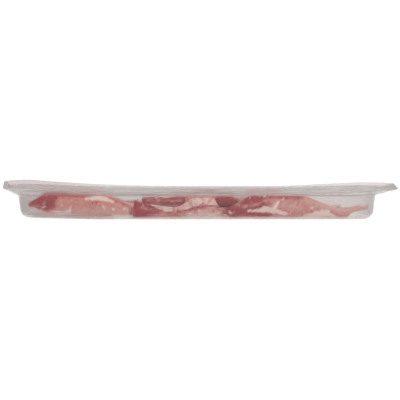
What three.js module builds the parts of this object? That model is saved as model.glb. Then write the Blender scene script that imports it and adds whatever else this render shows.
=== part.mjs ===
// Pack of sliced cured pork neck: a shallow thermoformed tray whose flange the sealed film has drawn up
// at both ends, with loosely folded slices of marbled cured meat inside.
// Millimetres, +Z up, long side along X. The origin is under the middle of the flange, on the ground.

import * as THREE from "three";

// Tray, measured outside
const packLength = 240;
const packWidth = 150;
const sheet = 0.5;
const wallHeight = 14.8;
const wallLean = 1;
const floorRadius = 5.5;
const shoulderRadius = 1.6;
const bodyCorner = 19;
const flangeLeft = 9.5;
const flangeRight = 13.8;
const flangeSide = 11;
const flangeCorner = 27;

// How far the flange's outer edge stands above its root along the near and the far side, and how much
// more towards the left end of each and towards the right end
const nearRise = 0.8;
const farRise = 1.4;
const nearLeftLift = 2.55;
const farLeftLift = 4;
const rightLift = 2.3;
const nearLiftSpan = [-10, -105];
const farLiftSpan = [-15, -105];
const rightLiftSpan = [45, 108];

// How far the floor of the tray is drawn up at its left end
const floorLift = 0.9;
const floorLiftSpan = [-55, -104];
const flatFloor = 0.53;

// Lidding film: it spans the opening from a seal line part of the way out on the flange
const film = 0.2;
const filmGap = 0.4;
const filmSag = 0.5;
const sealPart = 0.55;
const filmReach = 0.98;

// Slices: thickness, clearance to what they lie on, and how far the leaf of a folded slice runs back
const slice = 1.3;
const clearance = 0.35;
const leafReach = 34;
const leafTip = 4;
const foldDepth = 5;
const wallBulge = 0.6;
const innerBulge = 0.3;
const innerFold = 6.5;
const outlinePower = 2.6;
const underFilm = 14;
const edgeRipple = 0.5;
const rippleLength = 27;
const edgeWobble = 0.07;
const wobbleRate = 5;
const foldWave = 0.3;
const foldWaveLength = 21;

// Facets: along each straight side, in each corner and bend, and across the slices
const longSteps = 12;
const shortSteps = 6;
const cornerSteps = 5;
const bendSteps = 4;
const flangeSteps = 2;
const foldSteps = 6;
const leafSteps = 4;
const sliceSteps = 16;

// Colours of the plastics and the meat
const trayColour = 0xcecbc9;
const filmColour = 0xe6e4e3;
const meatColours = [0xa4696a, 0xb98b85, 0xb2807b, 0x98656a];

const bodyLeft = -packLength / 2 + flangeLeft;
const bodyRight = packLength / 2 - flangeRight;
const bodyHalf = packWidth / 2 - flangeSide;
const onFloor = sheet + clearance + slice / 2;
const onWall = clearance + slice / 2;

const { lerp, clamp } = THREE.MathUtils;

// 0 before the first place, 1 after the second, and smooth between; the span may run either way
function ease(x, [from, to]) {
  const part = clamp((x - from) / (to - from), 0, 1);
  return part * part * (3 - 2 * part);
}

// Points round a rounded rectangle, counter-clockwise, the same number for every size
function roundedOutline({ left, right, half, radius }) {
  const centres = [
    [right - radius, radius - half],
    [right - radius, half - radius],
    [left + radius, half - radius],
    [left + radius, radius - half],
  ];
  const points = [];
  centres.forEach(([x, y], corner) => {
    for (let i = 0; i <= cornerSteps; i++) {
      const angle = (corner - 1 + i / cornerSteps) * Math.PI / 2;
      points.push(new THREE.Vector2(x + radius * Math.cos(angle), y + radius * Math.sin(angle)));
    }
    const [nextX, nextY] = centres[(corner + 1) % 4];
    const turn = corner * Math.PI / 2;
    const outward = new THREE.Vector2(Math.cos(turn), Math.sin(turn));
    const steps = corner % 2 === 0 ? shortSteps : longSteps;
    for (let i = 1; i < steps; i++) {
      const point = new THREE.Vector2(lerp(x, nextX, i / steps), lerp(y, nextY, i / steps));
      points.push(point.addScaledVector(outward, radius));
    }
  });
  return points;
}

// The body's outline at the top of its wall, grown or shrunk by an outset
function bodyOutline(outset) {
  return roundedOutline({
    left: bodyLeft - outset,
    right: bodyRight + outset,
    half: bodyHalf + outset,
    radius: bodyCorner + outset,
  });
}

const flangeRoot = bodyOutline(shoulderRadius);
const flangeEdge = roundedOutline({
  left: -packLength / 2,
  right: packLength / 2,
  half: packWidth / 2,
  radius: flangeCorner,
});

// How far the flange's outer edge stands above its root at a place in plan: the left end of the far side
// rises in a parabola, the other ends in a soft step
function flangeRise(x, y) {
  const far = 0.5 + y / packWidth;
  const share = clamp((x - farLiftSpan[0]) / (farLiftSpan[1] - farLiftSpan[0]), 0, 1);
  const nearEdge = nearRise + nearLeftLift * ease(x, nearLiftSpan);
  const farEdge = farRise + farLeftLift * share * share;
  return lerp(nearEdge, farEdge, far) + rightLift * ease(x, rightLiftSpan);
}

// How far the floor stands above the ground along X
function floorRise(x) {
  return floorLift * ease(x, floorLiftSpan);
}

// A ring of the body, shrunk to a share of its size; the lift of the floor dies out up the wall
function bodyRing(outset, z, share = 1) {
  return bodyOutline(outset).map((corner) => {
    const { x, y } = corner.multiplyScalar(share);
    const lift = floorRise(x) * (1 - z / wallHeight);
    return new THREE.Vector3(x, y, z + lift);
  });
}

// A ring on the flange, part of the way from its root to its edge, at a height above the root's underside
function flangeRing(part, above) {
  return flangeRoot.map((root, i) => {
    const point = root.clone().lerp(flangeEdge[i], part);
    const rise = part * flangeRise(point.x, point.y);
    return new THREE.Vector3(point.x, point.y, wallHeight + above + rise);
  });
}

// Rings of one side of the tray from its floor to the root of its flange; the inside lies a sheet within
function bodyRings(inside) {
  const rings = [bodyRing(-wallLean - floorRadius, inside, flatFloor)];
  const lean = Math.atan(wallLean / (wallHeight - floorRadius - shoulderRadius));
  const floorArc = floorRadius - inside;
  for (let i = 0; i <= bendSteps; i++) {
    const angle = lerp(-Math.PI / 2, -lean, i / bendSteps);
    const outset = floorArc * Math.cos(angle) - wallLean - floorRadius;
    rings.push(bodyRing(outset, floorRadius + floorArc * Math.sin(angle)));
  }
  const shoulderArc = shoulderRadius + inside;
  for (let i = 0; i < bendSteps; i++) {
    const angle = lerp(Math.PI, Math.PI / 2, i / bendSteps);
    const outset = shoulderRadius + shoulderArc * Math.cos(angle);
    rings.push(bodyRing(outset, wallHeight - shoulderRadius + shoulderArc * Math.sin(angle)));
  }
  return rings;
}

// A closed skin through rings of points, with a fan to the middle of the first ring and of the last
function ringSkin(rings) {
  const count = rings[0].length;
  const sum = (ring) => ring.reduce((total, point) => total.add(point), new THREE.Vector3());
  const middle = (ring) => sum(ring).divideScalar(count);
  const points = [...rings.flat(), middle(rings[0]), middle(rings.at(-1))];
  const firstMiddle = points.length - 2;
  const lastMiddle = points.length - 1;
  const lastRing = count * (rings.length - 1);
  const index = [];
  for (let j = 0; j < count; j++) {
    const next = (j + 1) % count;
    index.push(firstMiddle, next, j);
    for (let start = 0; start < lastRing; start += count) {
      index.push(start + j, start + next, start + count + j);
      index.push(start + next, start + count + next, start + count + j);
    }
    index.push(lastMiddle, lastRing + j, lastRing + next);
  }
  const geometry = new THREE.BufferGeometry().setFromPoints(points);
  geometry.setIndex(index);
  geometry.computeVertexNormals();
  return geometry;
}

function trayGeometry() {
  const under = [];
  const over = [];
  for (let i = 0; i <= flangeSteps; i++) {
    under.push(flangeRing(i / flangeSteps, 0));
    over.push(flangeRing(i / flangeSteps, sheet));
  }
  const inside = [...bodyRings(sheet), ...over].reverse();
  return ringSkin([...bodyRings(0), ...under, ...inside]);
}

// A ring of film over the tray's opening, shrunk from the seal line towards the middle: the film is
// stretched between the raised sides of the flange and sinks a little
function openingRing(share, above) {
  const sag = filmSag * (1 - share * share);
  return flangeRoot.map((root, i) => {
    const point = root.clone().lerp(flangeEdge[i], sealPart).multiplyScalar(share);
    const rise = sealPart * flangeRise(point.x, point.y);
    return new THREE.Vector3(point.x, point.y, wallHeight + above + rise - sag);
  });
}

function filmGeometry() {
  const face = (above) => [
    openingRing(0.3, above),
    openingRing(0.7, above),
    openingRing(0.92, above),
    flangeRing(sealPart, above),
    flangeRing(filmReach, above),
  ];
  const under = face(sheet + filmGap);
  const over = face(sheet + filmGap + film).reverse();
  return ringSkin([...under, ...over]);
}

// Distance from the pack's long middle line to the foot of a long wall inside, less an inset, along X
function wallReach(x, inset) {
  const radius = bodyCorner - wallLean - sheet;
  const past = Math.max(bodyLeft + bodyCorner - x, x - bodyRight + bodyCorner, 0);
  return bodyHalf - bodyCorner + Math.sqrt((radius - inset) ** 2 - past ** 2);
}

// How much of its full width a slice keeps at s, which runs from -1 to 1 along it: a rounded outline,
// uneven by a phase of its own
function outlineShare(s, phase) {
  const rounded = (1 - Math.abs(s) ** outlinePower) ** (1 / outlinePower);
  return rounded * (1 + edgeWobble * Math.sin(wobbleRate * s + phase));
}

// A slice folded over itself, the fold towards a long wall. q runs from the free edge of the lower leaf,
// round the fold, to the free edge of the upper leaf.
function foldedSlice(fold) {
  const { side, span, bulge, highReach, lowReach, setBack, high, low, highBack, lowBack, phase } = fold;
  const foldShare = foldSteps / (foldSteps + 2 * leafSteps);
  return (s, q) => {
    const x = lerp(span[0], span[1], (s + 1) / 2);
    const height = high(x) - low(x);
    const depth = Math.min(foldDepth, bulge * height);
    const lowGap = 0.25 * Math.max(8 - height, 0);
    const wave = foldWave * (1 + Math.sin(2 * Math.PI * x / foldWaveLength + phase));
    const wall = wallReach(x, setBack(x) + lowGap + wave);
    const angle = clamp(q / foldShare, -1, 1) * Math.PI / 2;
    const run = clamp((Math.abs(q) - foldShare) / (1 - foldShare), 0, 1);
    const reach = q > 0 ? highReach : lowReach;
    const leaf = leafTip + (reach - leafTip) * outlineShare(s, q > 0 ? phase : phase + 2);
    const inward = depth * (1 - Math.cos(angle)) + leaf * run;
    const foldZ = lerp(low(x), high(x), (1 + Math.sin(angle)) / 2);
    const backZ = q > 0 ? highBack(x) - high(x) : lowBack(x) - low(x);
    const ripple = q > 0 ? edgeRipple * Math.sin(2 * Math.PI * x / rippleLength + phase) : 0;
    const z = foldZ + (backZ + ripple) * ease(run, [0, 1]);
    return new THREE.Vector3(x, side * (wall - inward), z);
  };
}

// A slice lying on the floor whose margin is turned up against a long wall. q runs from the margin's
// edge, down the wall and round the bend at 0, then back along the floor.
function turnedUpSlice({ side, span, edge, floorRun, phase }) {
  const bend = floorRadius - sheet - onWall;
  const bendTop = onFloor + bend;
  return (s, q) => {
    const x = lerp(span[0], span[1], (s + 1) / 2);
    const upright = Math.max(edge(x) - bendTop, 0);
    const firstAngle = Math.asin(clamp((bendTop - edge(x)) / bend, 0, 1));
    const margin = upright + bend * (Math.PI / 2 - firstAngle);
    const along = margin * clamp(q + 1, 0, 1);
    const angle = firstAngle + Math.max(along - upright, 0) / bend;
    const leaf = leafTip + (floorRun - leafTip) * outlineShare(s, phase);
    const inward = bend * (1 - Math.cos(angle)) + leaf * clamp(q, 0, 1);
    const z = bendTop + Math.max(upright - along, 0) - bend * Math.sin(angle);
    return new THREE.Vector3(x, side * (wallReach(x, onWall) - inward), z);
  };
}

// A slice laid in waves along X across the middle of the tray: one and a half waves, high end first
function wavySlice({ span, reach, skew, mean, wave, fade, phase }) {
  const waveLength = (span[1] - span[0]) / 1.5;
  return (s, q) => {
    const x = lerp(span[0], span[1], (s + 1) / 2);
    const part = (x - span[0]) / waveLength;
    const height = wave * (1 - fade * (s + 1) / 2);
    const half = leafTip + (reach - leafTip) * outlineShare(s, q > 0 ? phase : phase + 2);
    return new THREE.Vector3(x, q * half + skew * s, mean + height * Math.cos(2 * Math.PI * part));
  };
}

// A closed sheet of the slice's thickness about a middle surface; both faces are split alike
function sliceGeometry(middle, across) {
  const positions = [];
  const step = 1e-3;
  const faceSize = (sliceSteps + 1) * (across + 1);
  for (const half of [-slice / 2, slice / 2]) {
    for (let i = 0; i <= sliceSteps; i++) {
      for (let j = 0; j <= across; j++) {
        const s = clamp(2 * i / sliceSteps - 1, step - 1, 1 - step);
        const q = clamp(2 * j / across - 1, step - 1, 1 - step);
        const alongS = middle(s + step, q).sub(middle(s - step, q));
        const alongQ = middle(s, q + step).sub(middle(s, q - step));
        const normal = alongS.cross(alongQ).normalize();
        positions.push(...middle(s, q).addScaledVector(normal, half));
      }
    }
  }
  const index = [];
  const at = (i, j) => i * (across + 1) + j;
  const quad = (a, b, c, d) => index.push(a, b, d, b, c, d);
  for (let i = 0; i < sliceSteps; i++) {
    for (let j = 0; j < across; j++) {
      const [a, b, c, d] = [at(i, j), at(i + 1, j), at(i + 1, j + 1), at(i, j + 1)];
      quad(a + faceSize, b + faceSize, c + faceSize, d + faceSize);
      index.push(a, d, b, b, d, c);
    }
  }
  const rim = [];
  for (let i = 0; i < sliceSteps; i++) rim.push(at(i, 0));
  for (let j = 0; j < across; j++) rim.push(at(sliceSteps, j));
  for (let i = sliceSteps; i > 0; i--) rim.push(at(i, across));
  for (let j = across; j > 0; j--) rim.push(at(0, j));
  rim.forEach((a, i) => {
    const b = rim[(i + 1) % rim.length];
    quad(a, b, b + faceSize, a + faceSize);
  });
  const geometry = new THREE.BufferGeometry();
  geometry.setAttribute("position", new THREE.Float32BufferAttribute(positions, 3));
  geometry.setIndex(index);
  geometry.computeVertexNormals();
  return geometry;
}

// The slices along one long wall: folds at both ends and in the middle, and a turned-up slice in front,
// each end tucked behind or over its neighbour. What keeps the two walls from being alike: shifts along X,
// where the left slice ends, a drop in height, how much earlier the left slice falls, the rise of its flap,
// of the low slice's corner and of the right tail, and a phase.
function wallSlices({ side, leftEnd, leftShift, rightShift, drop, fall, flap, knob, tail, phase }) {
  const hump = underFilm - drop;
  const onSlice = onFloor + slice + 1.5 * clearance;
  const atLeft = (x, from, to) => ease(x - leftShift, [from, to]);
  const at = (x, from, to) => ease(x, [from, to]);
  const atRight = (x, from, to) => ease(x - rightShift, [from, to]);
  const left = {
    span: [leftEnd, leftShift - 38],
    bulge: wallBulge,
    highReach: leafReach,
    lowReach: leafReach,
    setBack: (x) => onWall + 2.2 * atLeft(x, -47, -42),
    high: (x) => hump + 1.2 - (hump - 8.6) * atLeft(x, -93, -104.5)
      - (hump - 6) * atLeft(x + fall, -60, -38.5) + flap * atLeft(x, -98, -93) * atLeft(x, -76, -84),
    low: (x) => onFloor + 1.9 * atLeft(x, -38, -70) + 1.6 * atLeft(x, -70, -86) + 3 * atLeft(x, -91, -104)
      + 1.8 * atLeft(x, -48, -42),
    highBack: (x) => hump - 0.7 - (hump - 10.5) * atLeft(x, -92, -103) - (hump - 9.4) * atLeft(x, -64, -46),
    lowBack: (x) => onFloor + floorRise(x) + 5.4 * atLeft(x, -88, -104) + 1.9 * atLeft(x, -48, -42),
    phase,
  };
  const middle = {
    span: [-35, 23],
    bulge: innerBulge,
    highReach: leafReach,
    lowReach: 19,
    setBack: () => innerFold + onWall,
    high: (x) => underFilm - drop / 3 - (1.2 + 5 * drop) * at(x, -6, -22) - 1.9 * at(x, 18, 23)
      - at(x, -30, -35),
    low: (x) => onSlice + 4.5 * at(x, 3, 11) + 2.56 * at(x, 16, 23),
    highBack: (x) => 12 - 2.5 * drop * at(x, -2, -16) + at(x, 4, 14) - at(x, 17, 23) - at(x, -30, -35),
    lowBack: (x) => onSlice + 6.9 * at(x, 3, 12),
    phase: phase + 1,
  };
  const right = {
    span: [11, rightShift + 101],
    bulge: wallBulge,
    highReach: leafReach - 3 * (1 - tail),
    lowReach: leafReach,
    setBack: (x) => onWall + 1.6 * at(x, 19.2, 16.8),
    high: (x) => 6 + (hump - 6) * at(x, 15, 36) + 1.3 * at(x, 23.5, 28.5) * at(x, 37, 30)
      - (hump - 6.6) * atRight(x, 60, 83) + tail * atRight(x, 86, 100),
    low: (x) => onFloor + 1.9 * at(x, 19.8, 16.8) + (2.6 + tail) * atRight(x, 87.5, 92.5)
      + 0.6 * atRight(x, 92, 101),
    highBack: (x) => 8.4 - 2.8 * at(x, 28, 12) - (3.45 - 0.45 * tail) * atRight(x, 64, 84)
      + 1.9 * atRight(x, 88, 96),
    lowBack: (x) => onFloor + 1.9 * at(x, 19.8, 16.8) + (3 + tail) * atRight(x, 88, 96),
    phase: phase + 3,
  };
  const low = {
    span: [-41, 16],
    edge: (x) => 7.6 + (5.6 - drop) * at(x, -15, -3.5) - (10 - drop) * at(x, 7, 14.5)
      + knob * (2.4 * at(x, -16, -38) + 2 * at(x, -37, -40)),
    floorRun: 45,
    phase: phase + 2,
  };
  const across = foldSteps + 2 * leafSteps;
  const folds = Object.entries({ left, middle, right });
  const slices = folds.map(([name, fold]) => [name, foldedSlice({ side, ...fold }), across]);
  return [...slices, ["low", turnedUpSlice({ side, ...low }), 2 * foldSteps]];
}

// The slices across the middle of the tray, each lapping over the end of the one before it
function middleSlices() {
  const laid = [
    { span: [-103, -33], reach: 31, skew: 2, mean: 5.9, wave: 1.9, fade: 0, phase: 0 },
    { span: [-38, 27], reach: 29, skew: -3, mean: 7.2, wave: 1.9, fade: 0, phase: 2 },
    { span: [22, 84], reach: 26, skew: 0, mean: 5.55, wave: 1.9, fade: 0.8, phase: 4 },
  ];
  return laid.map((one, i) => [i + 1, wavySlice(one), 2 * leafSteps]);
}

const pack = new THREE.Group();

function addPiece(name, geometry, material) {
  const mesh = new THREE.Mesh(geometry, new THREE.MeshStandardMaterial({ metalness: 0, ...material }));
  mesh.name = name;
  pack.add(mesh);
}

addPiece("tray", trayGeometry(), { color: trayColour, roughness: 0.3, transparent: true, opacity: 0.45 });
addPiece("lid_film", filmGeometry(), { color: filmColour, roughness: 0.1, transparent: true, opacity: 0.2 });

const nearWall = {
  side: -1,
  leftEnd: -104,
  leftShift: 0,
  rightShift: 0,
  drop: 0,
  fall: 0,
  flap: 0.9,
  knob: 1,
  tail: 1,
  phase: 0,
};
const farWall = {
  side: 1,
  leftEnd: -97,
  leftShift: 1,
  rightShift: -14,
  drop: 0.2,
  fall: 6,
  flap: 0,
  knob: 0.2,
  tail: -2.7,
  phase: 2,
};
const slices = [
  ...wallSlices(nearWall).map(([name, ...rest]) => [`slice_front_${name}`, ...rest]),
  ...middleSlices().map(([name, ...rest]) => [`slice_middle_${name}`, ...rest]),
  ...wallSlices(farWall).map(([name, ...rest]) => [`slice_back_${name}`, ...rest]),
];
slices.forEach(([name, middle, across], i) => {
  const color = meatColours[i % meatColours.length];
  addPiece(name, sliceGeometry(middle, across), { color, roughness: 0.45 });
});

export default pack;
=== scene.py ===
import bpy
import numpy as np
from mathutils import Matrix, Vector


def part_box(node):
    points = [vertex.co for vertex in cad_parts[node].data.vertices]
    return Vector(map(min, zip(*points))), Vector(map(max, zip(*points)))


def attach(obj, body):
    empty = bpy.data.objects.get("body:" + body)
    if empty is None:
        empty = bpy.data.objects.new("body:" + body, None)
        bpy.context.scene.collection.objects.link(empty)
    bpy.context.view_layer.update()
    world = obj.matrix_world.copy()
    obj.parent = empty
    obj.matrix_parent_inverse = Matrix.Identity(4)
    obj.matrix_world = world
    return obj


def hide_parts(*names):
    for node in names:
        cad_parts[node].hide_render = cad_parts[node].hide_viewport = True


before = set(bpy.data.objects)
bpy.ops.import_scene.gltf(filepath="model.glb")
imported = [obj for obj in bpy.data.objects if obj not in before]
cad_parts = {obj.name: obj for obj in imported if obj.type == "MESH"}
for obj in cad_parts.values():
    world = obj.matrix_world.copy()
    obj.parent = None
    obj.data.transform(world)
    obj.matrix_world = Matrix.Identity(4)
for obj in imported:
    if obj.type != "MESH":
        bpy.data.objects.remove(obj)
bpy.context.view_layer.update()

# Tray
# One sheet of clear, slightly hazy plastic, heated and drawn into a shallow mould with round corners.
# Its flange is cut round outside the seal, and the film, shrinking, has drawn it up at both ends.

MM = 0.001
tray_low, tray_high = [np.array(corner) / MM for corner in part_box("tray")]
PACK_LENGTH = tray_high[0] - tray_low[0]
PACK_WIDTH = tray_high[1] - tray_low[1]
SHEET = 0.3
WALL_HEIGHT = 14.8
WALL_LEAN = 1.0
FLOOR_RADIUS = 5.5
SHOULDER_RADIUS = 1.6
LEFT_FLANGE = 9.5
RIGHT_FLANGE = 13.8
SIDE_FLANGE = 11.0
BODY_LEFT = LEFT_FLANGE - PACK_LENGTH / 2
BODY_RIGHT = PACK_LENGTH / 2 - RIGHT_FLANGE
BODY_HALF = PACK_WIDTH / 2 - SIDE_FLANGE
BODY_CORNER = 19.0
FLANGE_CORNER = 27.0
NEAR_RISE = 0.8
FAR_RISE = 1.4
NEAR_LEFT_LIFT = 2.55
FAR_LEFT_LIFT = 4.0
RIGHT_LIFT = 2.3
NEAR_LIFT_SPAN = (-10, -105)
FAR_LIFT_SPAN = (-15, -105)
RIGHT_LIFT_SPAN = (45, 108)
FLOOR_LIFT = 0.9
FLOOR_LIFT_SPAN = (-55, -104)
FLANGE_WAVE = 0.02
EDGE_START = 0.985
FLOOR_MIDDLE = 0.53
CORNER_POINTS = 17
LONG_STEPS = 60
SHORT_STEPS = 36
FLAT_RINGS = 7
FLOOR_ARC_RINGS = 12
WALL_RINGS = 6
SHOULDER_ARC_RINGS = 8
FLANGE_RINGS = 13
EDGE_RINGS = 5
WALL_TINT = (0.74, 0.715, 0.705, 1)
FLANGE_TINT = (0.75, 0.735, 0.725, 1)
EDGE_TINT = (0.60, 0.585, 0.58, 1)
# Painted shade: how far the tray's tint darkens towards the far left corner, for light that falls from the
# right.
FAR_LEFT_SHADE = (0.85, 0.80, 0.81, 1)
FROST_HAZE = 0.45
SHOULDER_FROST = 0.15
END_FROST = 0.2


def ease(x, start, stop):
    """Smooth step 3t^2 - 2t^3: 0 before start, 1 after stop; start may lie above stop."""
    t = np.clip((x - start) / (stop - start), 0, 1)
    return t * t * (3 - 2 * t)


def rounded_outline(left, right, half, radius):
    """Points round a rounded rectangle, counter-clockwise: four quarter circles joined by straight
    runs, with the same number of points for every size."""
    quarter = np.linspace(0, np.pi / 2, CORNER_POINTS)
    far_x, near_x = right - radius, left + radius
    high_y, low_y = half - radius, radius - half
    centres = np.array([[far_x, low_y], [far_x, high_y], [near_x, high_y], [near_x, low_y]])
    runs = []
    for corner, centre in enumerate(centres):
        angle = quarter + (corner - 1) * np.pi / 2
        arc = centre + radius * np.column_stack([np.cos(angle), np.sin(angle)])
        steps = LONG_STEPS if corner % 2 else SHORT_STEPS
        share = np.linspace(0, 1, steps + 1)[1:-1, None]
        runs += [arc, arc[-1] + share * (centres[(corner + 1) % 4] - centre)]
    return np.concatenate(runs)


def body_outline(outset):
    """The outline of the body at the top of its wall, grown by an outset all round."""
    return rounded_outline(
        BODY_LEFT - outset, BODY_RIGHT + outset, BODY_HALF + outset, BODY_CORNER + outset
    )


def flange_rise(x, y):
    """Height of the flange's cut edge above its root: in a straight line from the near side to the far one,
    with a smooth step towards both ends, but a parabola at the left end of the far side."""
    far = 0.5 + y / PACK_WIDTH
    far_share = np.clip((x - FAR_LIFT_SPAN[0]) / (FAR_LIFT_SPAN[1] - FAR_LIFT_SPAN[0]), 0, 1)
    near_edge = NEAR_RISE + NEAR_LEFT_LIFT * ease(x, *NEAR_LIFT_SPAN)
    far_edge = FAR_RISE + FAR_LEFT_LIFT * far_share ** 2
    return near_edge + far * (far_edge - near_edge) + RIGHT_LIFT * ease(x, *RIGHT_LIFT_SPAN)


body_edge = body_outline(0)
body_outward = body_outline(1) - body_edge
flange_root = body_outline(SHOULDER_RADIUS)
flange_edge = rounded_outline(-PACK_LENGTH / 2, PACK_LENGTH / 2, PACK_WIDTH / 2, FLANGE_CORNER)


def floor_rise(x):
    """Height of the tray's floor above the ground: it is drawn up a little at the left end."""
    return FLOOR_LIFT * ease(x, *FLOOR_LIFT_SPAN)


def body_rings(outset, z, share=1.0):
    """Rings of the body: its outline moved outward by each outset and shrunk to a share, at each height,
    with the lift of the floor dying out up the wall."""
    plan = (body_edge + outset[:, None, None] * body_outward) * share
    lift = floor_rise(plan[..., 0]) * (1 - z[:, None] / WALL_HEIGHT)
    return np.dstack([plan, z[:, None] + lift])


def flange_rings(part, above):
    """Rings of the flange: each a part of the way from its root to its edge, lifted by that part of
    the edge's rise and of a low wave round the edge, at a height above the root."""
    plan = flange_root + part[:, None, None] * (flange_edge - flange_root)
    x, y = plan[..., 0], plan[..., 1]
    wave = FLANGE_WAVE * np.sin(x / 6.3 + 0.7) * np.sin(y / 9.1 - x / 17 + 0.4)
    lift = part[:, None] * (flange_rise(x, y) + wave * part[:, None])
    return np.dstack([plan, WALL_HEIGHT + above[:, None] + lift])


def tray_side(inside):
    """Rings of one side of the body from its floor to the flange: a round floor edge, a leaning wall
    and a round shoulder; the inside lies a sheet within the outside."""
    lean = np.arctan(WALL_LEAN / (WALL_HEIGHT - FLOOR_RADIUS - SHOULDER_RADIUS))
    floor_arc = FLOOR_RADIUS - inside
    floor_angle = np.linspace(-np.pi / 2, -lean, FLOOR_ARC_RINGS)
    shoulder_arc = SHOULDER_RADIUS + inside
    shoulder_angle = np.linspace(np.pi, np.pi / 2, SHOULDER_ARC_RINGS + 1)[:-1]
    floor_outset = floor_arc * np.cos(floor_angle) - WALL_LEAN - FLOOR_RADIUS
    floor_z = FLOOR_RADIUS + floor_arc * np.sin(floor_angle)
    shoulder_outset = SHOULDER_RADIUS + shoulder_arc * np.cos(shoulder_angle)
    shoulder_z = WALL_HEIGHT - SHOULDER_RADIUS + shoulder_arc * np.sin(shoulder_angle)
    share = np.linspace(0, 1, WALL_RINGS + 2)[1:-1]
    wall_outset = floor_outset[-1] + share * (shoulder_outset[0] - floor_outset[-1])
    wall_z = floor_z[-1] + share * (shoulder_z[0] - floor_z[-1])
    floor_shares = np.linspace(FLOOR_MIDDLE, 1, FLAT_RINGS + 1)[:-1, None, None]
    flat_outset = np.full(FLAT_RINGS, floor_outset[0])
    flat = body_rings(flat_outset, np.full(FLAT_RINGS, inside), floor_shares)
    raised = body_rings(
        np.concatenate([floor_outset, wall_outset, shoulder_outset]),
        np.concatenate([floor_z, wall_z, shoulder_z]),
    )
    return np.concatenate([flat, raised])


def add_mesh(name, points, faces):
    """A smooth-shaded mesh object from points in millimetres, at the origin."""
    mesh = bpy.data.meshes.new(name)
    mesh.from_pydata(points * MM, [], faces)
    mesh.shade_smooth()
    piece = bpy.data.objects.new(name, mesh)
    bpy.context.scene.collection.objects.link(piece)
    return piece


def ring_skin(name, rings):
    """A closed skin through rings of points: quads between neighbouring rings, and a fan to the middle
    of the first ring and of the last."""
    levels, count = rings.shape[:2]
    middles = np.stack([rings[0].mean(axis=0), rings[-1].mean(axis=0)])
    points = np.concatenate([rings.reshape(-1, 3), middles])
    here = np.arange(levels * count).reshape(levels, count)
    beside = np.roll(here, -1, axis=1)
    quads = np.stack([here[:-1], beside[:-1], beside[1:], here[1:]], axis=2).reshape(-1, 4)
    first_fan = np.column_stack([np.full(count, levels * count), beside[0], here[0]])
    last_fan = np.column_stack([np.full(count, levels * count + 1), here[-1], beside[-1]])
    return add_mesh(name, points, quads.tolist() + first_fan.tolist() + last_fan.tolist())


def node(tree, kind, **values):
    """A shader node of a kind, with its options and its unlinked inputs set by name."""
    made = tree.nodes.new(kind)
    for name, value in values.items():
        if hasattr(made, name):
            setattr(made, name, value)
        else:
            made.inputs[name.replace("_", " ")].default_value = value
    return made


def lamp_through(tree, surface):
    """Lets lamp and bounced light straight through a see-through surface."""
    path = node(tree, "ShaderNodeLightPath")
    clear = node(tree, "ShaderNodeBsdfTransparent")
    shaded = surface
    for ray in ("Is Shadow Ray", "Is Diffuse Ray"):
        mix = node(tree, "ShaderNodeMixShader")
        tree.links.new(path.outputs[ray], mix.inputs[0])
        tree.links.new(shaded, mix.inputs[1])
        tree.links.new(clear.outputs[0], mix.inputs[2])
        shaded = mix.outputs[0]
    tree.links.new(shaded, tree.nodes["Material Output"].inputs["Surface"])


def new_material(name):
    """An empty node material with an output and a principled surface."""
    material = bpy.data.materials.new(name)
    material.use_nodes = True
    return material, material.node_tree, material.node_tree.nodes["Principled BSDF"]


def mixed_colour(tree, factor, first, second):
    """A colour between two, each a fixed colour or the output of a node."""
    mix = node(tree, "ShaderNodeMix", data_type="RGBA")
    tree.links.new(factor, mix.inputs["Factor"])
    for socket, colour in ((mix.inputs[6], first), (mix.inputs[7], second)):
        if isinstance(colour, tuple):
            socket.default_value = colour
        else:
            tree.links.new(colour, socket)
    return mix.outputs[2]


def ramp(tree, value, span, result=(0.0, 1.0)):
    """A value carried smoothly from one span to another."""
    step = node(tree, "ShaderNodeMapRange", interpolation_type="SMOOTHSTEP")
    step.inputs["From Min"].default_value, step.inputs["From Max"].default_value = span
    step.inputs["To Min"].default_value, step.inputs["To Max"].default_value = result
    tree.links.new(value, step.inputs["Value"])
    return step.outputs["Result"]


def maths(tree, operation, *values):
    """One sum of values, each a number or the output of a node."""
    step = node(tree, "ShaderNodeMath", operation=operation)
    for socket, value in zip(step.inputs, values):
        if isinstance(value, (int, float)):
            socket.default_value = value
        else:
            tree.links.new(value, socket)
    return step.outputs[0]


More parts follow.
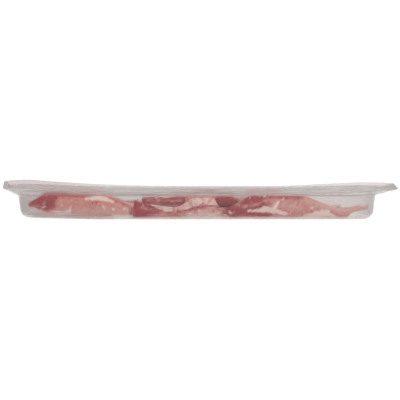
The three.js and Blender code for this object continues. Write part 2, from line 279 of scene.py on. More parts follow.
def hazy_plastic(name, tint, clearness, bending):
    """Clear sheet with a milky haze in soft clouds, frosted where it is bent and at both ends, with fine
    draw marks in its surface, and painted shade: its colour darkens towards the far left corner, standing
    in for light that falls from the right."""
    material, tree, surface = new_material(name)
    surface.inputs["Transmission Weight"].default_value = clearness
    surface.inputs["IOR"].default_value = bending
    place = node(tree, "ShaderNodeTexCoord")
    parts = node(tree, "ShaderNodeSeparateXYZ")
    cloud = node(tree, "ShaderNodeTexNoise", Scale=45.0, Detail=3.0, Roughness=0.6)
    mark = node(tree, "ShaderNodeTexNoise", Scale=260.0, Detail=2.0)
    for socket in (parts.inputs[0], cloud.inputs["Vector"], mark.inputs["Vector"]):
        tree.links.new(place.outputs["Object"], socket)
    # Painted shade: the tint darkens towards the far left corner, standing in for light that falls from the
    # right.
    far = ramp(tree, parts.outputs["Y"], (0.02, 0.065), (0.0, 1.3))
    left = ramp(tree, parts.outputs["X"], (-0.045, -0.105))
    left_shade_tint = tuple(np.array(tint) * FAR_LEFT_SHADE)
    colour = mixed_colour(tree, maths(tree, "MULTIPLY", left, far), tint, left_shade_tint)
    tree.links.new(colour, surface.inputs["Base Color"])
    haze = node(tree, "ShaderNodeMapRange", From_Min=0.3, From_Max=0.7, To_Min=0.12, To_Max=0.18)
    frost = node(tree, "ShaderNodeAttribute", attribute_name="frost")
    tree.links.new(cloud.outputs["Fac"], haze.inputs["Value"])
    frosted = maths(tree, "MULTIPLY_ADD", frost.outputs["Fac"], FROST_HAZE, haze.outputs["Result"])
    tree.links.new(frosted, surface.inputs["Roughness"])
    bump = node(tree, "ShaderNodeBump", Strength=0.004, Distance=0.0004)
    tree.links.new(mark.outputs["Fac"], bump.inputs["Height"])
    tree.links.new(bump.outputs["Normal"], surface.inputs["Normal"])
    lamp_through(tree, surface.outputs["BSDF"])
    return material


flange_part = np.linspace(0, 1, FLANGE_RINGS)
edge_turn = np.linspace(-np.pi / 2, np.pi / 2, EDGE_RINGS + 2)[1:-1]
body_outside = tray_side(0)
flange_skin = np.concatenate([
    flange_rings(flange_part * EDGE_START, np.zeros(FLANGE_RINGS)),
    flange_rings(EDGE_START + (1 - EDGE_START) * np.cos(edge_turn), SHEET * (1 + np.sin(edge_turn)) / 2),
    flange_rings(flange_part[::-1] * EDGE_START, np.full(FLANGE_RINGS, SHEET)),
])
tray_rings = np.concatenate([body_outside, flange_skin, tray_side(SHEET)[::-1]])
tray = ring_skin("tray_shell", tray_rings)
tray_x, tray_z = tray_rings[..., 0].ravel(), tray_rings[..., 2].ravel()
bend_frost = 1 - ease(tray_z, 0.6, 2.8) + SHOULDER_FROST * ease(tray_z, 13.0, 14.2)
end_frost = END_FROST * (ease(tray_x, -90, -105) + ease(tray_x, 85, 100)) * ease(tray_z, 14.8, 13.0)
frost_share = np.append(np.minimum(bend_frost + end_frost, 1), [1, 1])
tray_frost = tray.data.attributes.new("frost", "FLOAT", "POINT")
tray_frost.data.foreach_set("value", frost_share.astype(np.float32))
tray.data.materials.append(hazy_plastic("hazy_tray_wall", WALL_TINT, clearness=0.97, bending=1.2))
tray.data.materials.append(hazy_plastic("hazy_tray_flange", FLANGE_TINT, clearness=0.88, bending=1.03))
tray.data.materials.append(hazy_plastic("milky_cut_edge", EDGE_TINT, clearness=0.5, bending=1.03))
face_ring = np.arange(len(tray.data.polygons)) // len(body_edge) - len(body_outside)
on_flange = (face_ring >= 0) & (face_ring < len(flange_skin) - 1)
on_edge = (face_ring >= len(flange_part) - 1) & (face_ring < len(flange_part) + len(edge_turn))
tray.data.polygons.foreach_set("material_index", on_flange.astype(np.int32) + on_edge)
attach(tray, "root")
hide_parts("tray")

# Slices of cured pork neck
# Thin slices of dry-cured meat, dark red lean marbled with seams of pale fat, cut across the neck.
# They are laid in loosely: folded over along both long walls, turned up against them, and in waves between.

SLICE = 1.15
ON_FLOOR = 1.5
ON_SLICE = 3.325
ON_WALL = 1.0
SHEET_ROOM = 0.5
LEAF_REACH = 34.0
INNER_LOW_REACH = 19.0
FLOOR_RUN = 45.0
LEAF_TIP = 4.0
FOLD_DEPTH = 5.0
WALL_BULGE = 0.6
INNER_BULGE = 0.3
FOLD_SHARE = 6 / 14
INNER_FOLD = 6.5
LOW_FOLD = 8.0
FOLD_WAVE = 0.3
FOLD_WAVE_LENGTH = 21.0
LEAF_RIPPLE = 0.5
RIPPLE_LENGTH = 27.0
KNOB_ROUNDING = 1.5
MIDDLE_WAVE = 1.9
UNMARKED = -5.0
FACE_DEPTH = 8.0
PATTERN_STEP = 7.3
MM_PER_CM = 10
OUTLINE_POWER = 2.6
UNDER_FILM = 14.0
ALONG_POINTS = 120
ACROSS_POINTS = 120
CUT_EDGE = 0.55
# These are the meat's own tones; the dark colour and the two pale ones also lay on painted shade and
# painted light where the marks put them.
DARK_LEAN_AND_SHADE = (0.31, 0.030, 0.043, 1)
LEAN_PINK = (0.66, 0.315, 0.270, 1)
PALE_LEAN_AND_LIGHT = (0.57, 0.370, 0.330, 1)
PALE_FAT_AND_LIGHT = (0.74, 0.610, 0.555, 1)


def wall_reach(x, inset):
    """Distance from the long middle line to the foot of a long wall, less an inset: straight along the
    side, a circle of the corner's radius at both ends."""
    radius = BODY_CORNER - WALL_LEAN - SHEET_ROOM
    past = np.maximum(np.maximum(BODY_LEFT + BODY_CORNER - x, x - BODY_RIGHT + BODY_CORNER), 0)
    return BODY_HALF - BODY_CORNER + np.sqrt((radius - inset) ** 2 - past ** 2)


def outline_share(s, phase):
    """How much of its width a slice keeps at s from -1 to 1: a superellipse with an uneven edge."""
    rounded = (1 - np.abs(s) ** OUTLINE_POWER) ** (1 / OUTLINE_POWER)
    broad = 0.07 * np.sin(5 * s + phase)
    fine = 0.02 * np.sin(14 * s + 2 * phase) + 0.01 * np.sin(31 * s + 5 * phase)
    return rounded * (1 + broad + fine)


def folded_slice(s, q, side, span, bulge, reach, set_back, heights, phase):
    """Middle surface of a slice folded over itself, the fold towards a long wall: q runs from the free
    edge of the lower leaf, round half an ellipse, to the free edge of the upper leaf. The reach holds how
    far the lower and the upper leaf run back; the heights are those of the fold's top and bottom and of
    the leaves' back edges along X."""
    high, low, high_back, low_back = heights
    x = span[0] + (span[1] - span[0]) * (s + 1) / 2
    height = high(x) - low(x)
    depth = np.minimum(FOLD_DEPTH, bulge * height)
    low_gap = 0.25 * np.maximum(LOW_FOLD - height, 0)
    wave = FOLD_WAVE * (1 + np.sin(2 * np.pi * x / FOLD_WAVE_LENGTH + phase))
    angle = np.clip(q / FOLD_SHARE, -1, 1) * np.pi / 2
    run = np.clip((np.abs(q) - FOLD_SHARE) / (1 - FOLD_SHARE), 0, 1)
    share = outline_share(s, np.where(q > 0, phase, phase + 2))
    leaf = LEAF_TIP + (np.where(q > 0, reach[1], reach[0]) - LEAF_TIP) * share
    y = wall_reach(x, set_back(x) + low_gap + wave) - depth * (1 - np.cos(angle)) - leaf * run
    fold_z = low(x) + height * (1 + np.sin(angle)) / 2
    ripple = LEAF_RIPPLE * np.sin(2 * np.pi * x / RIPPLE_LENGTH + phase)
    back_z = np.where(q > 0, high_back(x) - high(x) + ripple, low_back(x) - low(x))
    return np.dstack([x, side * y, fold_z + back_z * ease(run, 0, 1)])


def turned_up_slice(s, q, side, span, edge, phase):
    """Middle surface of a slice on the floor with its margin turned up against a long wall: q runs from
    the margin's edge, down the wall and round a quarter circle at 0, then back along the floor. The
    margin's left corner is rounded off."""
    corner = KNOB_ROUNDING * ease(s, -0.9, -1) * ease(q, -0.6, -1)
    x = span[0] + (span[1] - span[0]) * (s + 1) / 2 + corner
    bend = FLOOR_RADIUS - SHEET_ROOM - ON_WALL
    bend_top = ON_FLOOR + bend
    upright = np.maximum(edge(x) - bend_top, 0)
    first_angle = np.arcsin(np.clip((bend_top - edge(x)) / bend, 0, 1))
    margin = upright + bend * (np.pi / 2 - first_angle)
    along = margin * np.clip(q + 1, 0, 1)
    angle = first_angle + np.maximum(along - upright, 0) / bend
    leaf = LEAF_TIP + (FLOOR_RUN - LEAF_TIP) * outline_share(s, phase)
    y = wall_reach(x, ON_WALL) - bend * (1 - np.cos(angle)) - leaf * np.clip(q, 0, 1)
    z = bend_top + np.maximum(upright - along, 0) - bend * np.sin(angle)
    return np.dstack([x, side * y, z])


def wavy_slice(span, reach, skew, mean, fade, phase):
    """Middle surface of a slice laid in one and a half cosine waves along X, about a mean height, the
    waves fading by a share towards its right end."""
    def middle(s, q):
        x = span[0] + (span[1] - span[0]) * (s + 1) / 2
        half = LEAF_TIP + (reach - LEAF_TIP) * outline_share(s, np.where(q > 0, phase, phase + 2))
        z = mean + MIDDLE_WAVE * (1 - fade * (s + 1) / 2) * np.cos(3 * np.pi * (s + 1) / 2)
        return np.dstack([x, q * half + skew * s, z])

    return middle


def run_length(points, axis):
    """Distance run over the surface from the grid's first line, along one axis of the grid."""
    steps = np.linalg.norm(np.diff(points, axis=axis), axis=2)
    start = np.zeros_like(steps[:1]) if axis == 0 else np.zeros_like(steps[:, :1])
    return np.concatenate([start, np.cumsum(steps, axis=axis)], axis=axis)


def streak_depth(points, streaks):
    """How deep each point lies inside tapered streaks seen on the face towards the wall, in millimetres,
    below 0 outside. A streak runs from one (x, z, half width) to the next."""
    x, z = points[..., 0], points[..., 2]
    inset = wall_reach(x, 0) - np.abs(points[..., 1])
    behind = np.maximum(inset - FACE_DEPTH, 0)
    depth = np.full(x.shape, UNMARKED)
    for streak in streaks:
        for (x0, z0, half0), (x1, z1, half1) in zip(streak, streak[1:]):
            run_x, run_z = x1 - x0, z1 - z0
            part = np.clip(((x - x0) * run_x + (z - z0) * run_z) / (run_x ** 2 + run_z ** 2), 0, 1)
            gap = np.sqrt((x - x0 - part * run_x) ** 2 + (z - z0 - part * run_z) ** 2 + behind ** 2)
            depth = np.maximum(depth, half0 + part * (half1 - half0) - gap)
    return depth


def slice_piece(name, number, middle, marks):
    """A closed sheet about a middle surface: both faces stand half a slice off along the normal and close
    in a half circle at the cut edge. Each point keeps its place on the flat cut, in centimetres, its marks,
    how deep it is in a streak of fat, in dark lean with painted shade and in pale lean with painted light,
    and how far it shows seams."""
    along = np.sin(np.linspace(-np.pi / 2, np.pi / 2, ALONG_POINTS))
    across = np.sin(np.linspace(-np.pi / 2, np.pi / 2, ACROSS_POINTS))
    s, q = np.meshgrid(along, across, indexing="ij")
    points = middle(s, q)
    normal = np.cross(np.gradient(points, axis=0), np.gradient(points, axis=1))
    normal /= np.linalg.norm(normal, axis=2, keepdims=True)
    run_s, run_q = run_length(points, 0), run_length(points, 1)
    to_end = np.minimum(run_s, run_s[-1:] - run_s)
    to_side = np.minimum(run_q, run_q[:, -1:] - run_q)
    inset = np.clip(np.minimum(to_end, to_side) / CUT_EDGE, 0, 1)
    half = SLICE / 2 * np.sqrt(1 - (1 - inset) ** 2)
    top = points + normal * half[..., None]
    bottom = points - normal * half[..., None]
    size = ALONG_POINTS * ACROSS_POINTS
    top_at = np.arange(size).reshape(ALONG_POINTS, ACROSS_POINTS)
    bottom_at = top_at.copy()
    inner = (slice(1, -1), slice(1, -1))
    bottom_at[inner] = size + np.arange(bottom_at[inner].size).reshape(bottom_at[inner].shape)
    quads = [
        np.stack([at[:-1, :-1], at[1:, :-1], at[1:, 1:], at[:-1, 1:]], axis=2).reshape(-1, 4)
        for at in (top_at, bottom_at)
    ]
    faces = quads[0].tolist() + quads[1][:, ::-1].tolist()
    vertices = np.concatenate([top.reshape(-1, 3), bottom[inner].reshape(-1, 3)])
    piece = add_mesh(name, vertices, faces)
    flat_x = points[..., 0] / MM_PER_CM
    flat_y = (run_q - run_q[:, -1:] / 2) / MM_PER_CM
    cut = np.dstack([flat_x, flat_y, np.full(s.shape, PATTERN_STEP * number)])
    fat, dark, pale, seams = marks(points, run_q)
    for layer_name, grid in (("cut", cut), ("marks", np.dstack([fat, dark, pale]))):
        values = np.concatenate([grid.reshape(-1, 3), grid[inner].reshape(-1, 3)])
        layer = piece.data.attributes.new(layer_name, "FLOAT_VECTOR", "POINT")
        layer.data.foreach_set("vector", values.astype(np.float32).ravel())
    layer = piece.data.attributes.new("seams", "FLOAT", "POINT")
    seam_values = np.concatenate([seams.ravel(), seams[inner].ravel()])
    layer.data.foreach_set("value", seam_values.astype(np.float32))
    return piece


def cured_meat():
    """Lean from dark red to pink in soft clouds, with broad seams of fat round the muscles, fine marbling
    inside them, the marked streaks, some of which are painted shade and painted light, and a moist sheen."""
    material, tree, surface = new_material("cured_pork_neck")
    cut = node(tree, "ShaderNodeAttribute", attribute_name="cut")
    marks = node(tree, "ShaderNodeAttribute", attribute_name="marks")
    seams = node(tree, "ShaderNodeAttribute", attribute_name="seams")
    mark = node(tree, "ShaderNodeSeparateXYZ")
    tree.links.new(marks.outputs["Vector"], mark.inputs[0])
    warp = node(tree, "ShaderNodeTexNoise", Scale=0.7, Detail=3.0)
    push = node(tree, "ShaderNodeVectorMath", operation="MULTIPLY_ADD")
    push.inputs[1].default_value = (1.1, 1.1, 0)
    tree.links.new(cut.outputs["Vector"], warp.inputs["Vector"])
    tree.links.new(warp.outputs["Color"], push.inputs[0])
    tree.links.new(cut.outputs["Vector"], push.inputs[2])
    muscle = node(tree, "ShaderNodeTexVoronoi", feature="DISTANCE_TO_EDGE", Scale=0.36)
    vein = node(tree, "ShaderNodeTexNoise", Scale=1.1, Detail=2.5)
    width = node(tree, "ShaderNodeTexNoise", Scale=0.6, Detail=3.0)
    cloud = node(tree, "ShaderNodeTexNoise", Scale=0.55, Detail=4.0)
    fibre = node(tree, "ShaderNodeTexNoise", Scale=12.0, Detail=3.0)
    ragged = node(tree, "ShaderNodeTexNoise", Scale=4.0, Detail=4.0)
    speck = node(tree, "ShaderNodeTexVoronoi", Scale=2.4)
    for texture in (muscle, vein, width, cloud, fibre, ragged, speck):
        tree.links.new(push.outputs[0], texture.inputs["Vector"])
    wander = maths(tree, "SUBTRACT", ragged.outputs["Fac"], 0.5)
    seam_width = ramp(tree, width.outputs["Fac"], (0.36, 0.66), (-0.05, 0.14))
    ragged_width = maths(tree, "MULTIPLY_ADD", wander, 0.09, seam_width)
    seam_depth = maths(tree, "SUBTRACT", ragged_width, muscle.outputs["Distance"])
    seam = ramp(tree, seam_depth, (-0.015, 0.025))
    open_seam = maths(tree, "MULTIPLY", seam, seams.outputs["Fac"])
    ridge = maths(tree, "ABSOLUTE", maths(tree, "SUBTRACT", vein.outputs["Fac"], 0.5))
    vein_width = ramp(tree, cloud.outputs["Fac"], (0.4, 0.62), (-0.005, 0.03))
    thread = ramp(tree, maths(tree, "SUBTRACT", vein_width, ridge), (-0.012, 0.018), (0, 0.7))
    streak_edge = maths(tree, "MULTIPLY_ADD", wander, 3.0, mark.outputs["X"])
    streak = ramp(tree, streak_edge, (-0.8, 0.5), (0, 0.92))
    open_thread = maths(tree, "MULTIPLY", thread, seams.outputs["Fac"])
    speck_size = ramp(tree, width.outputs["Fac"], (0.42, 0.7), (0.02, 0.2))
    speck_depth = maths(tree, "SUBTRACT", speck_size, speck.outputs["Distance"])
    spot = ramp(tree, speck_depth, (-0.05, 0.08), (0, 0.7))
    marbling = maths(tree, "MAXIMUM", maths(tree, "MAXIMUM", open_seam, open_thread), spot)
    fat = maths(tree, "MAXIMUM", marbling, streak)
    cloud_gain = maths(tree, "MULTIPLY_ADD", seams.outputs["Fac"], 0.4, 0.3)
    spread = maths(tree, "SUBTRACT", cloud.outputs["Fac"], 0.5)
    soft_cloud = maths(tree, "MULTIPLY_ADD", spread, cloud_gain, 0.22)
    pink = maths(tree, "MULTIPLY_ADD", fibre.outputs["Fac"], 0.9, soft_cloud)
    dark_edge = maths(tree, "MULTIPLY_ADD", wander, 3.0, mark.outputs["Y"])
    shade = maths(tree, "SUBTRACT", ramp(tree, pink, (0.4, 0.8)), ramp(tree, dark_edge, (-2.4, 1.7)))
    lean = mixed_colour(tree, maths(tree, "MAXIMUM", shade, 0.0), DARK_LEAN_AND_SHADE, LEAN_PINK)
    pale_edge = maths(tree, "MULTIPLY_ADD", wander, 6.0, mark.outputs["Z"])
    lean = mixed_colour(tree, ramp(tree, pale_edge, (-2.0, 2.5), (0, 0.8)), lean, PALE_LEAN_AND_LIGHT)
    colour = mixed_colour(tree, fat, lean, PALE_FAT_AND_LIGHT)
    tree.links.new(colour, surface.inputs["Base Color"])
    moist = ramp(tree, fibre.outputs["Fac"], (0.3, 0.7), (0.34, 0.5))
    tree.links.new(moist, surface.inputs["Roughness"])
    surface.inputs["Specular IOR Level"].default_value = 0.14
    surface.inputs["Subsurface Weight"].default_value = 0.15
    surface.inputs["Subsurface Radius"].default_value = (1.0, 0.35, 0.25)
    surface.inputs["Subsurface Scale"].default_value = 0.0012
    bump = node(tree, "ShaderNodeBump", Strength=0.25, Distance=0.0003)
    tree.links.new(fibre.outputs["Fac"], bump.inputs["Height"])
    tree.links.new(bump.outputs["Normal"], surface.inputs["Normal"])
    return material


def wall_slices(side, left_end, left_shift, right_shift, drop, fall, flap, knob, tail, phase):
    """The slices along one long wall, by name, their heights sums of smooth steps along X. What keeps the
    two walls unlike: where the left slice ends, shifts along X, a drop, how much earlier the left slice
    falls, the rise of its flap, of the low slice's corner and the arm beside it and of the right tail, and
    a phase."""
    hump = UNDER_FILM - drop

    def left_slice(s, q):
        def near(x, start, stop):
            return ease(x - left_shift, start, stop)

        def set_back(x):
            return ON_WALL + 2.2 * near(x, -44.5, -41.6)

        def high(x):
            ends = (hump - 8.6) * near(x, -93, -104.5) + (hump - 6) * near(x + fall, -60, -38.5)
            return hump + 1.2 - ends + flap * near(x, -98, -93) * near(x, -76, -84)

        def low(x):
            sag = 1.9 * near(x, -38, -70) + 1.6 * near(x, -70, -86)
            return ON_FLOOR + sag + 3 * near(x, -91, -104) + 1.8 * near(x, -45, -41.6)

        def high_back(x):
            return hump - 0.7 - (hump - 10.5) * near(x, -92, -103) - (hump - 9.4) * near(x, -64, -46)

        def low_back(x):
            return ON_FLOOR + floor_rise(x) + 5.4 * near(x, -88, -104) + 1.9 * near(x, -48, -42)

        span = (left_end, left_shift - 38)
        reach = (LEAF_REACH, LEAF_REACH)
        heights = (high, low, high_back, low_back)
        return folded_slice(s, q, side, span, WALL_BULGE, reach, set_back, heights, phase)

    def middle_slice(s, q):
        def set_back(x):
            return np.full_like(x, INNER_FOLD + ON_WALL)

        def high(x):
            waves = 0.45 * np.cos(2 * np.pi * (x + 27) / 12.5) * ease(x, -4, -14)
            ends = 1.9 * ease(x, 18, 23) + 0.4 * ease(x, -31, -35)
            return UNDER_FILM - drop / 3 - (1.2 + 5 * drop) * ease(x, -6, -22) + waves - ends

        def low(x):
            return ON_SLICE + 4.5 * ease(x, 3, 11) + 2.56 * ease(x, 16, 23)

        def high_back(x):
            ends = ease(x, 17, 23) + ease(x, -30, -35)
            return 12 - 2.5 * drop * ease(x, -2, -16) + ease(x, 4, 14) - ends

        def low_back(x):
            return ON_SLICE + 6.9 * ease(x, 3, 12)

        reach = (INNER_LOW_REACH, LEAF_REACH)
        heights = (high, low, high_back, low_back)
        return folded_slice(s, q, side, (-35, 23), INNER_BULGE, reach, set_back, heights, phase + 1)

    def right_slice(s, q):
        def near(x, start, stop):
            return ease(x - right_shift, start, stop)

        def set_back(x):
            return ON_WALL + 1.6 * ease(x, 17.8, 15.6)

        def high(x):
            arm = 1.3 * ease(x, 23.5, 28.5) * ease(x, 37, 30) + 0.6 * knob * ease(x, 23, 18)
            slope = (hump - 6) * ease(x, 15, 36) - (hump - 6.6) * near(x, 60, 83)
            return 6 + arm + slope + tail * near(x, 86, 100) - 0.4 * near(x, 94, 101)

        def low(x):
            bend = (2.6 + tail) * near(x, 87.5, 92.5) + near(x, 92, 101)
            return ON_FLOOR + 1.9 * ease(x, 18.2, 15.8) + bend

        def high_back(x):
            slope = 2.8 * ease(x, 28, 12) + (3.45 - 0.45 * tail) * near(x, 64, 84)
            return 8.4 - slope + 1.9 * near(x, 88, 96)

        def low_back(x):
            return ON_FLOOR + 1.9 * ease(x, 19.8, 16.8) + (3 + tail) * near(x, 88, 96)

        span = (11, right_shift + 101)
        reach = (LEAF_REACH, LEAF_REACH - 3 * (1 - tail))
        heights = (high, low, high_back, low_back)
        return folded_slice(s, q, side, span, WALL_BULGE, reach, set_back, heights, phase + 3)

    def low_slice(s, q):
        def edge(x):
            corner = 2.4 * ease(x, -16, -38) + 2 * ease(x, -37, -40)
            rise = (5.6 - drop) * ease(x, -15, -3.5) - (10 - drop) * ease(x, 7, 14.5)
            return 7.6 + rise + knob * corner

        return turned_up_slice(s, q, side, (-41, 16), edge, phase + 2)

    return {"left": left_slice, "middle": middle_slice, "right": right_slice, "low": low_slice}


def plain_marks(points, run_q):
    """No marked streaks; seams show all over."""
    unmarked = np.full(run_q.shape, UNMARKED)
    return unmarked, unmarked, unmarked, np.ones(run_q.shape)


def fold_marks(fat, dark, pale, seams_from=-1.0):
    """Marks of a slice whose fold shows the given streaks of fat, of dark lean and painted shade, and of
    pale lean and painted light; seams show behind it, from a share of the way over the slice on."""
    def marks(points, run_q):
        inset = wall_reach(points[..., 0], 0) - np.abs(points[..., 1])
        fields = [streak_depth(points, streaks) for streaks in (fat, dark, pale)]
        far_over = ease(run_q / run_q[:, -1:], seams_from, seams_from + 0.1)
        return *fields, ease(inset, 7, 14) * far_over

    return marks


def margin_marks(points, run_q):
    """Marks of the turned-up slice: a rim of fat along its edge, a thin line of painted shade below the
    rim, dark lean at its left and a veil of painted light at its foot, in pale lean and fat colour."""
    x = points[..., 0]
    rim = 2.2 * ease(x, -14, -8) - 0.7 * ease(x, -4, 1) - 3.9 * ease(x, 8, 10.5)
    rim += 3.0 * ease(x, -33, -22) - 0.6 - 0.6 * ease(x, -33, -36)
    seam = streak_depth(points, [[(-1, 5.3, 0.4), (4.4, 3.9, 0.5), (13.0, 1.6, 0.4)]])
    fat = np.minimum(np.maximum(rim - run_q, seam), -0.1)
    # Painted shade: a thin dark line just below the rim of fat, where the turned edge shades the slice.
    under = -0.4 - 1.5 * np.abs(run_q - rim - 0.5)
    dark = streak_depth(points, [
        [(-40, 11, 2.0), (-38, 4, 2.6), (-26, 5, 0.6)],
        [(-39, 10.5, 1.2), (-31, 8, 1.2), (-26, 6.8, 0.2)],
        [(-20, 4.4, -0.2), (-6, 6.0, 0.0), (2, 8, 0.4)],
    ])
    # Painted light: this pale streak at the slice's foot, and the veil of fat colour made from it, lighten
    # the low part, which gets little light.
    pale = streak_depth(points, [[(-8, 2.0, 1.2), (3, 2.6, 1.9), (12, 1.8, 1.0)]])
    veil = 0.3 * np.minimum(pale, 1) - 0.35
    behind = ease(points[..., 1], -56, -50)
    return np.maximum(fat, veil), np.maximum(under, dark), pale + 1.5, behind


left_fat = [
    [(-69.3, 12.4, 0.4), (-60.8, 12.9, 1.2), (-53.4, 10.6, 0.5)],
    [(-90, 5.2, 0.3), (-81.5, 4.9, 0.5), (-79.5, 5.3, 1.0)],
    [(-80.2, 4.3, 0.9), (-78.4, 7.7, 0.3)],
    [(-84.2, 8.6, 0.5), (-83.6, 8.8, 0.5)],
    [(-58.3, 6.5, 0.1), (-59.5, 8.3, 0.0)],
    [(-53.2, 6.3, 0.3), (-52.4, 6.8, 0.2)],
    [(-46.5, 6.2, 0.1), (-44.5, 5.7, 0.1)],
    [(-53.4, 2.4, 0.7), (-43.7, 2.4, 0.7)],
    [(-96, 7.4, -0.1), (-93.6, 8.3, -0.1)],
]
# The second and third dark streaks, on the flap, are dark lean and painted shade for the inner side of the
# fold, which stands off the wall.
left_dark_and_shade = [
    [(-54, 11.8, -0.4), (-44, 7.8, -0.4)],
    [(-93.6, 16.2, 2.6), (-97.3, 12.0, 2.8), (-101.5, 9.5, 1.0)],
    [(-90, 15.8, 3.2), (-91.2, 10.1, 2.8), (-93.6, 7.1, 1.2)],
    [(-88.1, 15.9, 1.8), (-74, 14.6, 0.6), (-66, 14.6, 0.2)],
    [(-98, 7.5, 0.2), (-93, 6.8, 0.4), (-89, 8.4, 0.2)],
    [(-64.6, 10.3, -0.3), (-63.4, 10.3, -0.3)],
]
middle_dark = [
    [(-35, 10, 3.0), (-12, 10, 3.4)],
    [(12, 10, 3.4), (16, 11, 3.0), (22, 11, 1.5)],
]
middle_pale = [[(-33, 8.5, 0.3), (-12, 8, 0.6)], [(-33, 11.5, 0.1), (-12, 11, 0.4)]]
right_fat = [
    [(28.8, 5.3, 0.3), (40.3, 6.2, 1.4), (48, 4.9, 1.0), (52.5, 3.6, 0.1)],
    [(44, 5.9, 1.5), (47, 10.1, 0.6)],
    [(62.9, 2.4, 0.5), (73.2, 3.9, 2.0), (77, 3.8, 1.4), (82, 1.8, 0.4)],
    [(17.7, 4.5, 0.3), (18.5, 4.2, 0.2)],
    [(67.5, 7.1, 0.3), (67.9, 7.1, 0.3)],
]
# Painted shade: the first dark streak stands in for the shadowed gap between this slice's face and a slice
# below it; the others are dark lean.
right_dark_and_shade = [
    [(16, 6.6, 1.6), (27.6, 5.0, 1.7), (41.5, 3.2, 0.8)],
    [(25, 11, 2.0), (30, 12, 2.8), (36, 13.5, 2.4), (41, 15, 1.4)],
    [(40, 13.6, 0.4), (61, 13.0, 0.2)],
    [(20, 2.5, 1.2), (34, 7.5, 1.2), (42, 9.5, 0.0)],
]
# Painted light: this pale streak lightens the low part of the left slice, which lies in shade.
left_painted_light = [[(-84, 5.5, 1.2), (-60, 5.0, 2.0), (-44, 4.0, 1.0)]]
right_pale = [
    [(62, 11, 1.0), (74, 8, 2.0), (88, 5, 2.5), (103, 7, 2.5)],
    [(50, 9, 1.5), (60, 7, 1.5)],
]
slice_marks = {
    "slice_front_left": fold_marks(left_fat, left_dark_and_shade, left_painted_light),
    "slice_front_middle": fold_marks([], middle_dark, middle_pale, seams_from=0.5),
    "slice_front_right": fold_marks(right_fat, right_dark_and_shade, right_pale),
    "slice_front_low": margin_marks,
}
near_wall = wall_slices(
    side=-1, left_end=-104, left_shift=0, right_shift=0, drop=0,
    fall=0, flap=0.9, knob=1, tail=1, phase=0,
)
far_wall = wall_slices(
    side=1, left_end=-97, left_shift=1, right_shift=-14, drop=0.2,
    fall=6, flap=0, knob=0.2, tail=-2.7, phase=2,
)
slices = {f"slice_front_{name}": surface for name, surface in near_wall.items()}
slices["slice_middle_1"] = wavy_slice((-103, -33), reach=31, skew=2, mean=5.9, fade=0, phase=0)
slices["slice_middle_2"] = wavy_slice((-38, 27), reach=29, skew=-3, mean=7.2, fade=0, phase=2)
slices["slice_middle_3"] = wavy_slice((22, 84), reach=26, skew=0, mean=5.55, fade=0.8, phase=4)
slices |= {f"slice_back_{name}": surface for name, surface in far_wall.items()}
meat = cured_meat()
for number, (slice_name, middle_surface) in enumerate(slices.items()):
    marks = slice_marks.get(slice_name, plain_marks)
    piece = slice_piece("meat_" + slice_name, number, middle_surface, marks)
    piece.data.materials.append(meat)
    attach(piece, "root")
    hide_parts(slice_name)

# Lidding film
# Thin clear film, laid over the full tray and heat-sealed to the outer half of its flange all round.
# It is stretched between the raised sides, sinks a little and lies in shallow waves over the meat.

FILM = 0.06
FILM_GAP = 0.05
FILM_SAG = 0.3
FILM_REACH = 0.995
SEAL_PART = 0.55
FILM_WAVE = 0.015
FILM_MIDDLE = 0.02
OPENING_RINGS = 49
SEAL_RINGS = 12
FILM_TINT = (0.97, 0.93, 0.925, 1)


def opening_rings(share, above):
    """Rings of film over the opening: the seal line shrunk by each share, as high as that part of the
    flange's rise, sunk towards the middle by a parabola, with low waves that die out at the seal."""
    plan = (flange_root + SEAL_PART * (flange_edge - flange_root)) * share[:, None, None]
    x, y = plan[..., 0], plan[..., 1]
    fade = 1 - ease(share, 0.85, 1)
    wave = np.sin(x / 6.1 + 1.0 + y / 31) + np.sin(y / 7.3 - x / 23)
    sag = FILM_SAG * (1 - share * share)
    lift = SEAL_PART * flange_rise(x, y) - sag[:, None] + FILM_WAVE * wave * fade[:, None]
    return np.dstack([plan, WALL_HEIGHT + above + lift])


def film_face(above):
    """Rings of one face of the film from its middle to its cut edge."""
    opening = opening_rings(np.linspace(FILM_MIDDLE, 1, OPENING_RINGS + 1)[:-1], above)
    sealed = flange_rings(np.linspace(SEAL_PART, FILM_REACH, SEAL_RINGS), np.full(SEAL_RINGS, above))
    return np.concatenate([opening, sealed])


def clear_film():
    """Clear glossy film with a faint rippled surface."""
    material, tree, surface = new_material("clear_lidding_film")
    surface.inputs["Base Color"].default_value = FILM_TINT
    surface.inputs["Transmission Weight"].default_value = 1.0
    surface.inputs["IOR"].default_value = 1.003
    surface.inputs["Coat Weight"].default_value = 0.25
    surface.inputs["Coat Roughness"].default_value = 0.06
    place = node(tree, "ShaderNodeTexCoord")
    ripple = node(tree, "ShaderNodeTexNoise", Scale=70.0, Detail=2.0)
    haze = node(tree, "ShaderNodeMapRange", From_Min=0.3, From_Max=0.7, To_Min=0.06, To_Max=0.14)
    bump = node(tree, "ShaderNodeBump", Strength=0.015, Distance=0.001)
    tree.links.new(place.outputs["Object"], ripple.inputs["Vector"])
    tree.links.new(ripple.outputs["Fac"], haze.inputs["Value"])
    tree.links.new(haze.outputs["Result"], surface.inputs["Roughness"])
    tree.links.new(ripple.outputs["Fac"], bump.inputs["Height"])
    tree.links.new(bump.outputs["Normal"], surface.inputs["Normal"])
    lamp_through(tree, surface.outputs["BSDF"])
    return material


film_under = film_face(SHEET + FILM_GAP)
film_over = film_face(SHEET + FILM_GAP + FILM)
film = ring_skin("lidding_film", np.concatenate([film_under, film_over[::-1]]))
film.data.materials.append(clear_film())
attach(film, "root")
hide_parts("lid_film")

# Studio
# A wide plain white floor under an even white sky, with one soft lamp above and in front.
# The camera looks at the near long side from just above the floor, from far off.

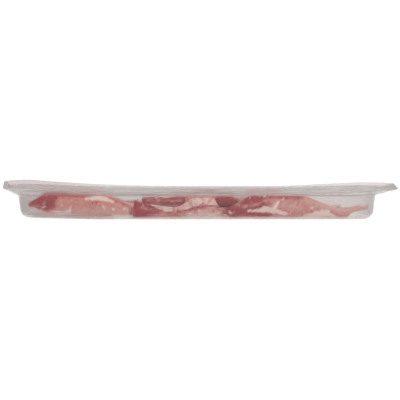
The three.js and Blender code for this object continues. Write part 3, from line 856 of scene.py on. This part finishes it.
floor_half = 40.0
floor_mesh = bpy.data.meshes.new("studio_floor")
floor_corners = [(-floor_half, -floor_half, 0), (floor_half, -floor_half, 0)]
floor_corners += [(floor_half, floor_half, 0), (-floor_half, floor_half, 0)]
floor_mesh.from_pydata(floor_corners, [], [(0, 1, 2, 3)])
floor = bpy.data.objects.new("studio_floor", floor_mesh)
bpy.context.scene.collection.objects.link(floor)
floor_paint, _, floor_surface = new_material("white_floor")
floor_surface.inputs["Base Color"].default_value = (0.14, 0.14, 0.14, 1)
floor_surface.inputs["Emission Color"].default_value = (1, 1, 1, 1)
floor_surface.inputs["Emission Strength"].default_value = 0.88
floor_surface.inputs["Roughness"].default_value = 0.9
floor.data.materials.append(floor_paint)

world = bpy.data.worlds.new("white_sky")
world.use_nodes = True
sky = world.node_tree
sky_place = node(sky, "ShaderNodeTexCoord")
sky_parts = node(sky, "ShaderNodeSeparateXYZ")
sky.links.new(sky_place.outputs["Generated"], sky_parts.inputs[0])
sky_low = ramp(sky, sky_parts.outputs["Z"], (0.0, 0.3), (0.50, 0.74))
sky_top = ramp(sky, sky_parts.outputs["Z"], (0.72, 0.95), (0.0, 1.06))
sky.links.new(maths(sky, "ADD", sky_low, sky_top), sky.nodes["Background"].inputs["Strength"])
sky.nodes["Background"].inputs["Color"].default_value = (1, 0.98, 0.97, 1)
bpy.context.scene.world = world

lamp = bpy.data.lights.new("soft_lamp", "AREA")
lamp.energy = 7.5
lamp.size = 1.2
lamp_object = bpy.data.objects.new("soft_lamp", lamp)
lamp_object.location = (0.5, -1.3, 0.7)
lamp_object.rotation_euler = (np.radians(63), 0, np.radians(21))
bpy.context.scene.collection.objects.link(lamp_object)

view_turn, view_height = np.radians(-0.5), np.radians(1.75)
view_distance = 6.5
view_target = np.array([0.00015, 0.0, 0.0100])
camera = bpy.data.cameras.new("camera")
camera.sensor_width = 36.0
camera.lens = 956.0
camera.clip_end = 100.0
camera_object = bpy.data.objects.new("camera", camera)
view_back = np.array([np.sin(view_turn), -np.cos(view_turn), np.tan(view_height)]) * np.cos(view_height)
camera_object.location = view_target + view_distance * view_back
camera_object.rotation_euler = (np.pi / 2 - view_height, 0, view_turn)
bpy.context.scene.collection.objects.link(camera_object)
bpy.context.scene.camera = camera_object
bpy.context.scene.view_settings.view_transform = "Standard"
